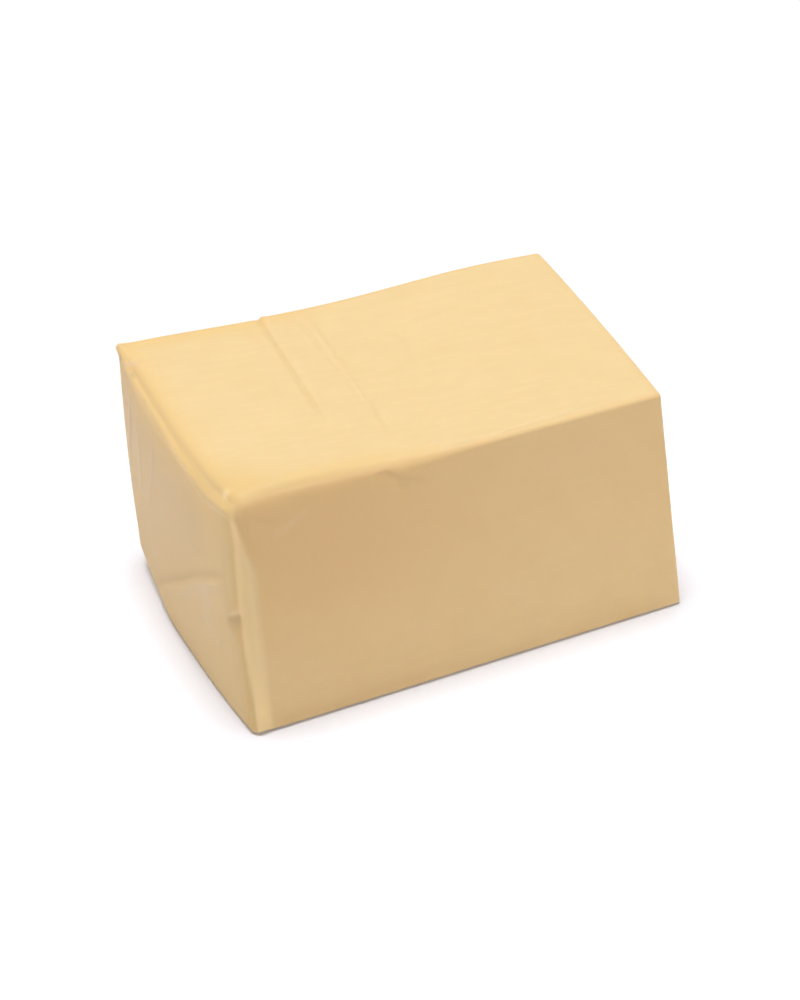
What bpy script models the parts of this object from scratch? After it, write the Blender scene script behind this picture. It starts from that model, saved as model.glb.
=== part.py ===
"""A block of low-moisture mozzarella in clear, tight shrink film, standing on its base.

Run with: blender --background --python part.py
Metres, +Z up. X runs along the block: the swollen end, where the film is folded, is at -X and the
plain end at +X. The long side with the softened top edge faces -Y. The origin is on the ground,
in the middle of the space the block takes up.
"""

import bmesh
import bpy
import numpy as np

MM = 0.001

# Driving dimensions, measured over the top. The block is lower and narrower at +X.
LENGTH = 130.0 * MM
DEPTH_LEFT = 98.4 * MM
DEPTH_RIGHT = 88.6 * MM
HEIGHT_LEFT = 74.9 * MM
HEIGHT_RIGHT = 71.0 * MM

DEPTH = (DEPTH_LEFT + DEPTH_RIGHT) / 2
HEIGHT = (HEIGHT_LEFT + HEIGHT_RIGHT) / 2

# How much further each side of the base reaches than the top.
FLARE_LEFT = 1.4 * MM
FLARE_RIGHT = 2.0 * MM
FLARE_LONG_SIDES = 3.1 * MM

# The folded end swells like a pillow, the other sides barely. Shares are parts of the full swell.
SWELL_LEFT = 4.6 * MM
SWELL_LEFT_PEAK = 0.56
SWELL_LEFT_AT_BASE = 0.67
SWELL_LEFT_AT_TOP = 0.89
SWELL_LEFT_AT_SIDES = 0.15
SWELL_RIGHT = 0.6 * MM
SWELL_LONG_SIDES = 0.7 * MM
SWELL_STARTS = 0.4

# The top dips along the back, rises again near the far corner, and stands proud at the front left.
BACK_DIP = 1.95 * MM
BACK_DIP_X = -16.1 * MM
BACK_DIP_REACH = 34.5 * MM
BACK_RISE = 0.9 * MM
BACK_RISE_X = 44.3 * MM
BACK_RISE_REACH = 22.3 * MM
FRONT_RISE = 3.1 * MM
FRONT_RISE_X = -45.8 * MM
FRONT_RISE_REACH = 27.6 * MM

# Rounding radii of the edges. The film rounds the folded end, and the plain end keeps its cut edges.
RADIUS_CRISP = 1.0 * MM
RADIUS_BACK_TOP = 1.4 * MM
RADIUS_BASE = 2.4 * MM
RADIUS_FRONT_TOP = 4.7 * MM
FRONT_TOP_SOFT_TO_X = -45.0 * MM
FRONT_TOP_CRISP_FROM_X = 20.0 * MM
RADIUS_LEFT_TOP = 3.2 * MM
RADIUS_LEFT_TOP_FRONT = 4.5 * MM
RADIUS_LEFT_BASE = 3.0 * MM
RADIUS_LEFT_FRONT = 3.4 * MM
RADIUS_LEFT_FRONT_AT_BASE = 6.0 * MM
RADIUS_LEFT_BACK = 1.0 * MM
RADIUS_LEFT_BACK_AT_BASE = 3.0 * MM
RADIUS_LOW_CORNER = 9.0 * MM
LOW_CORNER_REACH = 26.0 * MM
RADII_MEET_OVER = 9.0 * MM

# The film's lap across the top is a low step with a groove beside it.
LAP_X = -24.8 * MM
LAP_SLANT = 0.055
LAP_STEP = 0.6 * MM
LAP_STEP_WIDTH = 1.8 * MM
LAP_STEP_LENGTH = 40.0 * MM
LAP_GROOVE = 0.25 * MM
LAP_FADES_AT_Y = -24.0 * MM

# To its right a pair of creases closes up toward the front, with a ridge between, and then a short curved one.
PLEAT_LEFT_X = -12.8 * MM
PLEAT_RIGHT_X = -10.6 * MM
PLEAT_RIGHT_SLANT = 0.042
PLEAT_DEPTH = 0.25 * MM
CREASE_WIDTH = 0.9 * MM
DENT_X = 9.8 * MM
DENT_Y = 12.0 * MM
DENT_BEND = 16.0
DENT_REACH = 11.0 * MM
DENT_DEPTH = 0.3 * MM

# A thin rim of gathered film runs round the folded end, just under its top edge.
RIM_HEIGHT = 0.4 * MM
RIM_BELOW_TOP = 3.0 * MM
RIM_WIDTH = 0.9 * MM

# The film's puckers under the base hold its flat face a hair off the ground, on four spots near the corners.
BASE_HOLLOW = 0.2 * MM
FOOT_REACH = 2.5 * MM
FOOT_FADES_BY = 6.0 * MM

# Loops of the lattice: insets from every edge, the widest spacing inside, and fans of loops for the creases.
EDGE_LOOPS = (0.4 * MM, 1.2 * MM, 2.2 * MM, 3.4 * MM, 5.2 * MM, 8.0 * MM, 14.0 * MM)
INNER_SPACING = 12.0 * MM
CREASE_FANS = ((-28.0 * MM, -22.0 * MM, 6), (-14.6 * MM, -8.6 * MM, 7), (5.0 * MM, 12.0 * MM, 5))

SKIN_COLOUR = (0.90, 0.67, 0.37, 1.0)
SKIN_ROUGHNESS = 0.42


def smooth_step(value, start, end):
    """0 before start, 1 after end, and an S between them."""
    share = np.clip((value - start) / (end - start), 0.0, 1.0)
    return share * share * (3.0 - 2.0 * share)


def bell(value, middle, reach):
    """1 at the middle and almost 0 at twice the reach on either side."""
    return np.exp(-(((value - middle) / reach) ** 2))


def blend(start, end, share):
    """The start value at share 0 and the end value at share 1."""
    return start + (end - start) * share


def loops_across(low, high, fans=()):
    """Places of the loops across one side: crowded at both edges, even inside, and fanned at the creases."""
    crease_loops = [place for start, end, count in fans for place in np.linspace(start, end, count)]
    inner_low = low + EDGE_LOOPS[-1]
    inner_high = high - EDGE_LOOPS[-1]
    count = round((inner_high - inner_low) / INNER_SPACING)
    inner = np.linspace(inner_low, inner_high, count + 1)[1:-1]
    clear = [place for place in inner if all(abs(place - other) > INNER_SPACING / 3 for other in crease_loops)]
    edges = [low + inset for inset in EDGE_LOOPS] + [high - inset for inset in EDGE_LOOPS]
    return [*edges, *clear, *crease_loops]


def latticed_box():
    """A box of the block's mean size, cut by loops along all three axes."""
    lattice = bmesh.new()
    bmesh.ops.create_cube(lattice, size=1.0)
    bmesh.ops.scale(lattice, vec=(LENGTH, DEPTH, HEIGHT), verts=lattice.verts)
    bmesh.ops.translate(lattice, vec=(0.0, 0.0, HEIGHT / 2), verts=lattice.verts)
    directions = (
        ((1.0, 0.0, 0.0), loops_across(-LENGTH / 2, LENGTH / 2, CREASE_FANS)),
        ((0.0, 1.0, 0.0), loops_across(-DEPTH / 2, DEPTH / 2)),
        ((0.0, 0.0, 1.0), loops_across(0.0, HEIGHT)),
    )
    for direction, places in directions:
        for place in places:
            bmesh.ops.bisect_plane(
                lattice,
                geom=lattice.verts[:] + lattice.edges[:] + lattice.faces[:],
                dist=1e-7,
                plane_co=[place * part for part in direction],
                plane_no=direction,
            )
    mesh = bpy.data.meshes.new("mozzarella_block")
    lattice.to_mesh(mesh)
    lattice.free()
    return mesh


def edge_radius(x, y, z):
    """The rounding radius at each point of the box: the radii of its edges, weighted by closeness."""
    left, right = x + LENGTH / 2, LENGTH / 2 - x
    front, back = y + DEPTH / 2, DEPTH / 2 - y
    base, top = z, HEIGHT - z
    up = z / HEIGHT
    toward_back = smooth_step(front, 0.0, 40.0 * MM)
    toward_right = smooth_step(x, FRONT_TOP_SOFT_TO_X, FRONT_TOP_CRISP_FROM_X)
    to_low_corner = np.sqrt(left**2 + back**2 + base**2)
    low_corner = RADIUS_LOW_CORNER * bell(to_low_corner, 0.0, LOW_CORNER_REACH)
    edges = (
        (left, top, blend(RADIUS_LEFT_TOP_FRONT, RADIUS_LEFT_TOP, toward_back)),
        (right, top, RADIUS_CRISP),
        (front, top, blend(RADIUS_FRONT_TOP, RADIUS_CRISP, toward_right)),
        (back, top, RADIUS_BACK_TOP),
        (left, front, blend(RADIUS_LEFT_FRONT_AT_BASE, RADIUS_LEFT_FRONT, up)),
        (left, back, blend(RADIUS_LEFT_BACK_AT_BASE, RADIUS_LEFT_BACK, up) + low_corner),
        (right, front, RADIUS_CRISP),
        (right, back, RADIUS_BACK_TOP),
        (left, base, RADIUS_LEFT_BASE + low_corner),
        (right, base, RADIUS_BASE),
        (front, base, RADIUS_BASE),
        (back, base, RADIUS_BASE + low_corner),
    )
    total = np.zeros_like(x)
    weights = np.zeros_like(x)
    for one, other, radius in edges:
        weight = 1.0 / (np.hypot(one, other) + RADII_MEET_OVER) ** 4
        total += radius * weight
        weights += weight
    return total / weights


def rounded(points):
    """Each point of the sharp box moved onto the round-edged one, made by sweeping a ball inside it."""
    middle = np.array([0.0, 0.0, HEIGHT / 2])
    half = np.array([LENGTH, DEPTH, HEIGHT]) / 2
    radius = edge_radius(*points.T)[:, None]
    core = np.clip(points - middle, radius - half, half - radius)
    outward = points - middle - core
    outward /= np.linalg.norm(outward, axis=1, keepdims=True)
    return middle + core + outward * radius


def film_relief(x, y):
    """Height of the film's lap, creases and dent over the plain top."""
    lap_x = LAP_X + LAP_SLANT * y
    lap_shows = smooth_step(y, LAP_FADES_AT_Y, LAP_FADES_AT_Y + 22.0 * MM)
    step = smooth_step(x, lap_x, lap_x + LAP_STEP_WIDTH) * (1.0 - smooth_step(x, lap_x, lap_x + LAP_STEP_LENGTH))
    lap = lap_shows * (LAP_STEP * step - LAP_GROOVE * bell(x, lap_x, CREASE_WIDTH))
    left_pleat = bell(x, PLEAT_LEFT_X, CREASE_WIDTH)
    right_pleat = bell(x, PLEAT_RIGHT_X + PLEAT_RIGHT_SLANT * y, CREASE_WIDTH)
    dent_x = DENT_X - DENT_BEND * (y - DENT_Y) ** 2
    dent = bell(x, dent_x, CREASE_WIDTH) * bell(y, DENT_Y, DENT_REACH)
    return lap - PLEAT_DEPTH * (left_pleat + right_pleat) - DENT_DEPTH * dent


def base_relief(x, y, z):
    """Height of the flat base over the ground: all of it but four small feet, each where two loops cross."""
    foot_x = LENGTH / 2 - EDGE_LOOPS[-1]
    foot_y = DEPTH / 2 - EDGE_LOOPS[-1]
    feet = bell(np.abs(x), foot_x, FOOT_REACH) * bell(np.abs(y), foot_y, FOOT_REACH)
    return BASE_HOLLOW * (1.0 - feet) * (1.0 - smooth_step(z, 0.0, FOOT_FADES_BY))


def end_swell(across, up):
    """Swell of the folded end as a share: full in the middle, less toward base, top and both sides."""
    below = 1.0 - (1.0 - SWELL_LEFT_AT_BASE) * ((SWELL_LEFT_PEAK - up) / SWELL_LEFT_PEAK) ** 2
    above = 1.0 - (1.0 - SWELL_LEFT_AT_TOP) * ((up - SWELL_LEFT_PEAK) / (1.0 - SWELL_LEFT_PEAK)) ** 2
    to_side = blend(1.0, SWELL_LEFT_AT_SIDES, across**2)
    return np.where(up < SWELL_LEFT_PEAK, below, above) * to_side


def shaped(points):
    """The round-edged box with its taper, flare, swollen sides, uneven top and film relief."""
    x, y, z = rounded(points).T
    along, across, up = 2.0 * x / LENGTH, 2.0 * y / DEPTH, z / HEIGHT
    toward_right = (along + 1.0) / 2.0
    toward_back = (across + 1.0) / 2.0

    left_end = SWELL_LEFT * end_swell(across, up)
    left_end = left_end + RIM_HEIGHT * bell(z, HEIGHT - RIM_BELOW_TOP, RIM_WIDTH)
    right_end = SWELL_RIGHT * (1.0 - across**2) * blend(0.3, 1.0, up)
    flare_x = (1.0 - up) * (FLARE_RIGHT * toward_right - FLARE_LEFT * (1.0 - toward_right))
    new_x = x + flare_x
    new_x = new_x - left_end * smooth_step(-along, SWELL_STARTS, 1.0)
    new_x = new_x + right_end * smooth_step(along, SWELL_STARTS, 1.0)

    belly = SWELL_LONG_SIDES * (1.0 - along**2) * 4.0 * up * (1.0 - up)
    new_y = y * blend(DEPTH_LEFT, DEPTH_RIGHT, toward_right) / DEPTH
    new_y = new_y + across * (FLARE_LONG_SIDES * (1.0 - up) + belly)

    back = BACK_RISE * bell(x, BACK_RISE_X, BACK_RISE_REACH) - BACK_DIP * bell(x, BACK_DIP_X, BACK_DIP_REACH)
    front = FRONT_RISE * bell(x, FRONT_RISE_X, FRONT_RISE_REACH)
    on_top = smooth_step(z, HEIGHT - 2.5 * MM, HEIGHT - 0.3 * MM)
    new_z = z * blend(HEIGHT_LEFT, HEIGHT_RIGHT, toward_right) / HEIGHT
    new_z = new_z + up**3 * blend(front, back, toward_back) + on_top * film_relief(x, y) + base_relief(x, y, z)
    return np.stack([new_x, new_y, new_z], axis=1)


def cheese_material():
    """Pale yellow cheese seen through clear film, with an even satin skin."""
    material = bpy.data.materials.new("cheese_under_film")
    material.use_nodes = True
    skin = material.node_tree.nodes["Principled BSDF"]
    skin.inputs["Base Color"].default_value = SKIN_COLOUR
    skin.inputs["Roughness"].default_value = SKIN_ROUGHNESS
    skin.inputs["Metallic"].default_value = 0.0
    return material


def mozzarella_block():
    """The whole pack as one solid, centred over the origin and standing on the ground."""
    mesh = latticed_box()
    flat = np.empty(len(mesh.vertices) * 3)
    mesh.vertices.foreach_get("co", flat)
    points = shaped(flat.reshape(-1, 3))
    low, high = points.min(axis=0), points.max(axis=0)
    points -= [(low[0] + high[0]) / 2, (low[1] + high[1]) / 2, low[2]]
    mesh.vertices.foreach_set("co", points.ravel())
    mesh.update()
    mesh.shade_smooth()
    mesh.materials.append(cheese_material())
    return bpy.data.objects.new("mozzarella_block", mesh)


def main():
    """Clear the scene and build the block in a collection of its own."""
    for old in list(bpy.data.objects):
        bpy.data.objects.remove(old)
    pack = bpy.data.collections.new("mozzarella")
    bpy.context.scene.collection.children.link(pack)
    pack.objects.link(mozzarella_block())


main()
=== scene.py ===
# %% [markdown]
# # A block of mozzarella in clear film
#
# Low-moisture mozzarella is pressed into blocks, slipped into a bag of clear shrink film, evacuated and
# dipped in hot water. The film draws tight, so what one sees is the cheese's own colour under a thin
# gloss, with a few creases where the bag had spare width. The lesson builds two closed pieces, the cheese
# and the film, from one set of formulas, so that they fit each other everywhere. The measures are the
# ones of the solid model, which comes in first as a fixed frame.

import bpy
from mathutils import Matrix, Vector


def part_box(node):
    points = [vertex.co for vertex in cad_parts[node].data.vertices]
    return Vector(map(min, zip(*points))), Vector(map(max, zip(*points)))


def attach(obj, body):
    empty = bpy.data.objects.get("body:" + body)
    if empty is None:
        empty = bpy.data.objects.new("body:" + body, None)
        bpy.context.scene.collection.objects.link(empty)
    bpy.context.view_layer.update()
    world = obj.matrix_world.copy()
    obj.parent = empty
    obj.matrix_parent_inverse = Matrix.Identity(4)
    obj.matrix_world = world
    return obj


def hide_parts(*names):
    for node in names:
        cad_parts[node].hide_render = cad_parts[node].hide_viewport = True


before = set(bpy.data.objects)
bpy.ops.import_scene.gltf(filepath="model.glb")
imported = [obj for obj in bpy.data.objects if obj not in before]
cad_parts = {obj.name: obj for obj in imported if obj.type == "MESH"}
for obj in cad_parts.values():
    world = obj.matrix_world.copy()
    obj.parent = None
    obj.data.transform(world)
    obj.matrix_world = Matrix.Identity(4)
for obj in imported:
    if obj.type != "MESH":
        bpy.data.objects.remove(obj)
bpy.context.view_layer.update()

# %% Tools and units
import math

import bpy
import numpy as np
from mathutils import Matrix

MM = 0.001
NODE = "mozzarella_block"
BODY = "root"
print("the formulas work in millimetres, of which a Blender metre has", round(1 / MM))


# %% [markdown]
# ## A few curves that draw everything
#
# Nearly every form here is a sum of a few soft curves: an S from 0 to 1, a window made of one S up and one
# S down, a bell, and a straight blend. A modeller could pull these shapes by hand with proportional
# editing. Formulas are chosen because the cheese and the film then share them, and because a number such
# as a crease's depth can be changed alone. All lengths, places and reaches are in millimetres, unless a
# name or a comment says otherwise.

# %% Soft curves
def smooth_step(value, start, end):
    """0 before start, 1 after end, and the S of 3s^2 - 2s^3 between them."""
    share = np.clip((value - start) / (end - start), 0.0, 1.0)
    return share * share * (3.0 - 2.0 * share)


def window(value, rise, fall):
    """0, then 1, then 0 again: an S up over the two places in rise, times an S down over those in fall."""
    return smooth_step(value, *rise) * (1.0 - smooth_step(value, *fall))


def bell(value, middle, reach):
    """e to the minus ((value - middle) / reach) squared: 1 at the middle, almost 0 two reaches away."""
    return np.exp(-(((value - middle) / reach) ** 2))


def spot(coordinates, place, reach):
    """A bell of the distance to a place, which is the root of the sum of the squared offsets."""
    squares = sum((value - middle) ** 2 for value, middle in zip(coordinates, place))
    return bell(np.sqrt(squares), 0.0, reach)


def blend(start, end, share):
    """The start value at share 0 and the end value at share 1, in a straight line."""
    return start + (end - start) * share


print("a quarter of the way along, the S has reached", float(smooth_step(0.25, 0.0, 1.0)))

# %% [markdown]
# ## The block's measures
#
# A block pressed in a mould would be a plain box. Stacked and shrunk in film while it was still soft, it
# has slumped: its base is wider than its top, its left end has swelled like a pillow under the folds, and
# its top dips along the back. X runs along the block, Y to the back and Z up, all in millimetres. "Left"
# is the folded end.

# %% Measures of the block
LENGTH = 130.0
DEPTH_LEFT, DEPTH_RIGHT = 98.4, 88.6
HEIGHT_LEFT, HEIGHT_RIGHT = 74.9, 71.0
DEPTH = (DEPTH_LEFT + DEPTH_RIGHT) / 2
HEIGHT = (HEIGHT_LEFT + HEIGHT_RIGHT) / 2
LEFT, RIGHT, FRONT, BACK = -LENGTH / 2, LENGTH / 2, -DEPTH / 2, DEPTH / 2
print(f"block of {LENGTH:.0f} x {DEPTH:.1f} x {HEIGHT:.1f} mm before it slumps")

# %% [markdown]
# ## A closed grid over a box
#
# The starting form is a box whose six sides are grids. Each side is a surface of two parameters, and
# neighbouring sides share the points of the edge between them, so the shell is closed from the start.
# Grid lines crowd toward the edges, where the rounding needs them, and toward the creases. A cube with a
# Subdivision modifier would spread its faces evenly and waste most of them on the flat sides.

# %% Grid lines
FINE, COARSE, COARSE_ALONG = 0.30, 0.95, 1.3
COARSE_FROM = 5.0
CREASED = (-27.5, -7.5)


def lines_across(low, high, coarse, crowd=()):
    """Places from low to high: steps grow from fine at both ends, and at each crowded place, to coarse.

    The density 1 / step is summed along the way, and the lines are put at equal shares of that sum.
    """
    dense = np.linspace(low, high, 4001)
    near = np.minimum(dense - low, high - dense)
    for start, end in crowd:
        near = np.minimum(near, np.maximum(np.maximum(start - dense, dense - end), 0.0))
    step = blend(FINE, coarse, smooth_step(near, 0.0, COARSE_FROM))
    travelled = np.concatenate([[0.0], np.cumsum(np.diff(dense) / (0.5 * (step[1:] + step[:-1])))])
    count = int(round(travelled[-1])) + 1
    return np.interp(np.linspace(0.0, travelled[-1], count), travelled, dense)


grid = (
    lines_across(LEFT, RIGHT, COARSE_ALONG, crowd=(CREASED,)),
    lines_across(FRONT, BACK, COARSE),
    lines_across(0.0, HEIGHT, COARSE),
)
print("grid lines along, across and up:", [len(lines) for lines in grid])


# %% The box as one shell
def box_shell(xs, ys, zs):
    """Points and outward quads of a closed box whose grid lines lie at xs, ys and zs.

    A point is known by its three line numbers (i, j, k). A side holds one of them at its first or last
    line and runs over the other two, and points with the same three numbers become one.
    """
    counts = np.array([len(xs), len(ys), len(zs)])
    quads = []
    for axis in range(3):
        u, v = (axis + 1) % 3, (axis + 2) % 3
        a, b = np.meshgrid(np.arange(counts[u]), np.arange(counts[v]), indexing="ij")
        for last in (0, 1):
            ijk = [None, None, None]
            ijk[axis] = np.full_like(a, (counts[axis] - 1) * last)
            ijk[u], ijk[v] = a, b
            key = ijk[0] + counts[0] * (ijk[1] + counts[1] * ijk[2])
            corners = [key[:-1, :-1], key[1:, :-1], key[1:, 1:], key[:-1, 1:]]
            if not last:
                corners.reverse()
            quads.append(np.stack(corners, axis=-1).reshape(-1, 4))
    keys, quads = np.unique(np.concatenate(quads), return_inverse=True)
    i = keys % counts[0]
    j = keys // counts[0] % counts[1]
    k = keys // (counts[0] * counts[1])
    return np.stack([xs[i], ys[j], zs[k]], axis=1), quads.reshape(-1, 4)


box, quads = box_shell(*grid)
print("shell:", len(box), "points,", 2 * len(quads), "triangles")

# %% [markdown]
# ## From box to block
#
# Two steps turn the box into the block. First its edges are rounded, as if a ball had rolled round inside
# a skin: tight where the knife cut the plain end, wide where the film pulls on the folded one. Then the
# taper, the flare and the swell are added. The outward direction of the rounding is kept, since the
# film's folds are raised along it, before the block slumps.

# %% Rounded edges
EDGE_CRISP, EDGE_BACK_TOP, EDGE_BASE, EDGE_FRONT_TOP = 1.2, 1.4, 1.3, 5.4
EDGE_LEFT_TOP_BACK, EDGE_LEFT_TOP, EDGE_LEFT_BASE = 3.0, 6.0, 1.6
EDGE_LEFT_FRONT, EDGE_LEFT_FRONT_AT_BASE = 5.4, 3.4
EDGE_LEFT_BACK, EDGE_LEFT_BACK_AT_BASE = 1.0, 3.0
LOW_CORNER, LOW_CORNER_REACH = 9.0, 26.0
SOFT_TO_X, CRISP_FROM_X = -45.0, 20.0
LEFT_TOP_WIDENS = 22.0
RADII_MEET_OVER = 9.0


def edge_radius(x, y, z):
    """The radius at each point: the twelve edges' radii, weighted by closeness to the fourth power."""
    left, right = x - LEFT, RIGHT - x
    front, back = y - FRONT, BACK - y
    base, top = z, HEIGHT - z
    up = z / HEIGHT
    corner = LOW_CORNER * spot((left, back, base), (0.0, 0.0, 0.0), LOW_CORNER_REACH)
    left_top = blend(EDGE_LEFT_TOP_BACK, EDGE_LEFT_TOP, smooth_step(back, 0.0, LEFT_TOP_WIDENS))
    front_top = blend(EDGE_FRONT_TOP, EDGE_CRISP, smooth_step(x, SOFT_TO_X, CRISP_FROM_X))
    left_front = blend(EDGE_LEFT_FRONT_AT_BASE, EDGE_LEFT_FRONT, up)
    left_back = blend(EDGE_LEFT_BACK_AT_BASE, EDGE_LEFT_BACK, up) + corner
    edges = (
        (left, top, left_top), (right, top, EDGE_CRISP), (front, top, front_top), (back, top, EDGE_BACK_TOP),
        (left, front, left_front), (left, back, left_back),
        (right, front, EDGE_CRISP), (right, back, EDGE_BACK_TOP),
        (left, base, EDGE_LEFT_BASE + corner), (right, base, EDGE_BASE),
        (front, base, EDGE_BASE), (back, base, EDGE_BASE + corner),
    )
    weights = [1.0 / (np.hypot(one, other) + RADII_MEET_OVER) ** 4 for one, other, _ in edges]
    return sum(w * edge[2] for w, edge in zip(weights, edges)) / sum(weights)


def rounded(box):
    """Each point moved to the round-edged box, and the direction that faces outward there.

    The point is pulled into the box that is one radius smaller, and pushed out again by the radius.
    """
    middle = np.array([0.0, 0.0, HEIGHT / 2])
    half = np.array([LENGTH, DEPTH, HEIGHT]) / 2
    radius = edge_radius(*box.T)[:, None]
    core = np.clip(box - middle, radius - half, half - radius)
    outward = box - middle - core
    outward /= np.linalg.norm(outward, axis=1, keepdims=True)
    return middle + core + outward * radius, outward


round_box, outward = rounded(box)
x, y, z = round_box.T
print("edges rounded by up to", round(float(np.linalg.norm(round_box - box, axis=1).max()), 1), "mm")

# %% Slump and swell
# How much further the base reaches than the top, and how far the sides swell.
FLARE_LEFT, FLARE_RIGHT, FLARE_LONG_SIDES = 1.4, 2.0, 3.1
SWELL_LEFT, SWELL_RIGHT, SWELL_LONG_SIDES = 4.6, 0.6, 0.7
# The folded end's swell: the share of its height where it peaks, and its shares at the base, top and sides.
SWELL_PEAK, SWELL_AT_BASE, SWELL_AT_TOP, SWELL_AT_SIDES = 0.56, 0.67, 0.89, 0.15
SWELL_RIGHT_AT_BASE = 0.3
SWELL_STARTS = 0.4

# Each is a height, the place along the block and the reach to either side.
BACK_DIP = (-1.95, -16.1, 34.5)
BACK_RISE = (0.9, 44.3, 22.3)
FRONT_RISE = (3.1, -45.8, 27.6)
BASE_LIFT, BASE_LIFT_UP_TO = 0.2, 6.0


def end_swell(across, up):
    """Share of the swell on the folded end: two half parabolas up the end, times one across it."""
    below = 1.0 - (1.0 - SWELL_AT_BASE) * ((SWELL_PEAK - up) / SWELL_PEAK) ** 2
    above = 1.0 - (1.0 - SWELL_AT_TOP) * ((up - SWELL_PEAK) / (1.0 - SWELL_PEAK)) ** 2
    return np.where(up < SWELL_PEAK, below, above) * blend(1.0, SWELL_AT_SIDES, across**2)


def slumped(points):
    """The round-edged box with its taper, flare, swollen sides and uneven top.

    The flare is linear in height. The swells are parabolas, and the top rises and dips by bells along
    the block, which fade downward with the cube of the height.
    """
    x, y, z = points.T
    along, across, up = 2.0 * x / LENGTH, 2.0 * y / DEPTH, z / HEIGHT
    rightward, backward = (along + 1.0) / 2.0, (across + 1.0) / 2.0
    left_end = SWELL_LEFT * end_swell(across, up) * smooth_step(-along, SWELL_STARTS, 1.0)
    right_end = SWELL_RIGHT * (1.0 - across**2) * blend(SWELL_RIGHT_AT_BASE, 1.0, up)
    right_end = right_end * smooth_step(along, SWELL_STARTS, 1.0)
    flare = (1.0 - up) * blend(-FLARE_LEFT, FLARE_RIGHT, rightward)
    belly = SWELL_LONG_SIDES * (1.0 - along**2) * 4.0 * up * (1.0 - up)
    taper = blend(DEPTH_LEFT, DEPTH_RIGHT, rightward) / DEPTH
    back = sum(height * bell(x, place, reach) for height, place, reach in (BACK_DIP, BACK_RISE))
    front = FRONT_RISE[0] * bell(x, *FRONT_RISE[1:])
    uneven = up**3 * blend(front, back, backward)
    lift = BASE_LIFT * (1.0 - smooth_step(z, 0.0, BASE_LIFT_UP_TO))
    new_x = x + flare - left_end + right_end
    new_y = y * taper + across * (FLARE_LONG_SIDES * (1.0 - up) + belly)
    new_z = z * blend(HEIGHT_LEFT, HEIGHT_RIGHT, rightward) / HEIGHT + uneven + lift
    return np.stack([new_x, new_y, new_z], axis=1)


# The left end swells more than the right one, and this brings the slumped block back to the middle.
BACK_TO_MIDDLE = (1.596, 0.2, 0.0)

low, high = (np.array(corner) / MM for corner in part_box(NODE))
CENTRE = (low + high) / 2 * (1.0, 1.0, 0.0) + BACK_TO_MIDDLE
plain_block = slumped(round_box) + CENTRE
print("plain block from", np.round(plain_block.min(0), 1), "to", np.round(plain_block.max(0), 1), "mm")
print("solid model from", np.round(low, 1), "to", np.round(high, 1), "mm")

# %% [markdown]
# ## Marks on the film
#
# Film shows itself by its lines: a crease where two layers part, a fold where a flap begins, a ridge of
# gathered film. Each is a profile carried along a path on one side of the box. The profile may be a bell,
# for a crease, or a step that dies away, for the edge of a flap. A bump map could do the same for the
# picture, but the line would then be missing from the mesh, so the lines are real relief.

# %% Paths on a side
def along_path(u, v, path):
    """Distance of (u, v) to a path, plus to its left and minus to its right, and the share of its length.

    For each leg, the nearest point is the foot of the perpendicular, held between the leg's two ends.
    """
    path = np.array(path)
    legs = np.diff(path, axis=0)
    lengths = np.linalg.norm(legs, axis=1)
    starts = np.concatenate([[0.0], np.cumsum(lengths)])
    best, signed, share = np.full(u.shape, np.inf), np.zeros(u.shape), np.zeros(u.shape)
    for (from_u, from_v), (leg_u, leg_v), length, start in zip(path, legs, lengths, starts):
        t = np.clip(((u - from_u) * leg_u + (v - from_v) * leg_v) / length**2, 0.0, 1.0)
        off_u, off_v = u - from_u - t * leg_u, v - from_v - t * leg_v
        distance = np.hypot(off_u, off_v)
        closer = distance < best
        side = np.where(leg_u * off_v - leg_v * off_u >= 0.0, 1.0, -1.0)
        best = np.where(closer, distance, best)
        signed = np.where(closer, distance * side, signed)
        share = np.where(closer, (start + t * length) / starts[-1], share)
    return signed, share


def tapered(share, tip):
    """1 along the middle of a path, falling to 0 over the tip, a share of its length, at both ends."""
    return window(share, (0.0, tip), (1.0 - tip, 1.0))


def line_mark(u, v, width, tip, path):
    """A bell across the path, as wide as a crease, that tapers out at both ends."""
    signed, share = along_path(u, v, path)
    return bell(signed, 0.0, width) * tapered(share, tip)


def line_marks(u, v, lines, where):
    """The mark of each named line of a table, times the share of the place where it may lie."""
    return {name: where * line_mark(u, v, *line) for name, line in lines.items()}


# %% Which side a mark is on
def on_side(value, edge, over=2.2):
    """1 on the side that lies at that edge of the box, 0 once round its corner."""
    return 1.0 - smooth_step(np.abs(value - edge), 0.3, over)


def close_to(value, edge, reach=14.0):
    """1 near that edge of the box and 0 from the reach on, to keep what goes round an edge off far sides."""
    return 1.0 - smooth_step(np.abs(value - edge), 0.75 * reach, reach)


print("points on the top:", int((on_side(z, HEIGHT) > 0.5).sum()))


# %% [markdown]
# Three numbers go with each mark: its height, how far the film has come away there, which makes it milky,
# and a painted shading, minus for painted shade in a hollow and plus for a painted highlight on a rise. They
# stand in a table beside the marks, so a fold can be made deeper or paler without touching its place.

# %% Adding marks up
def add_up(title, marks, weights):
    """Height in mm, film come away, painted shading: each mark times its three weights, summed over marks.
    """
    height, away, tone = (sum(marks[name] * row[n] for name, row in weights.items()) for n in range(3))
    print(f"{title}: {len(marks)} marks, from {height.min():+.2f} to {height.max():+.2f} mm")
    return height, away, tone


# %% [markdown]
# The lap is where the bag's two layers overlap, right across the top and down the back. It is a step with
# a groove beside it. Next to it two creases close up toward the front with a ridge between them, and a
# short bent one lies further right.

# %% Lap and creases on the top
LAP_X, LAP_SLANT = -25.9, 0.053
LAP_GROWS_FROM_FRONT, LAP_ENDS_ON_BACK = (-24.0, -4.0), (8.0, 30.0)
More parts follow.
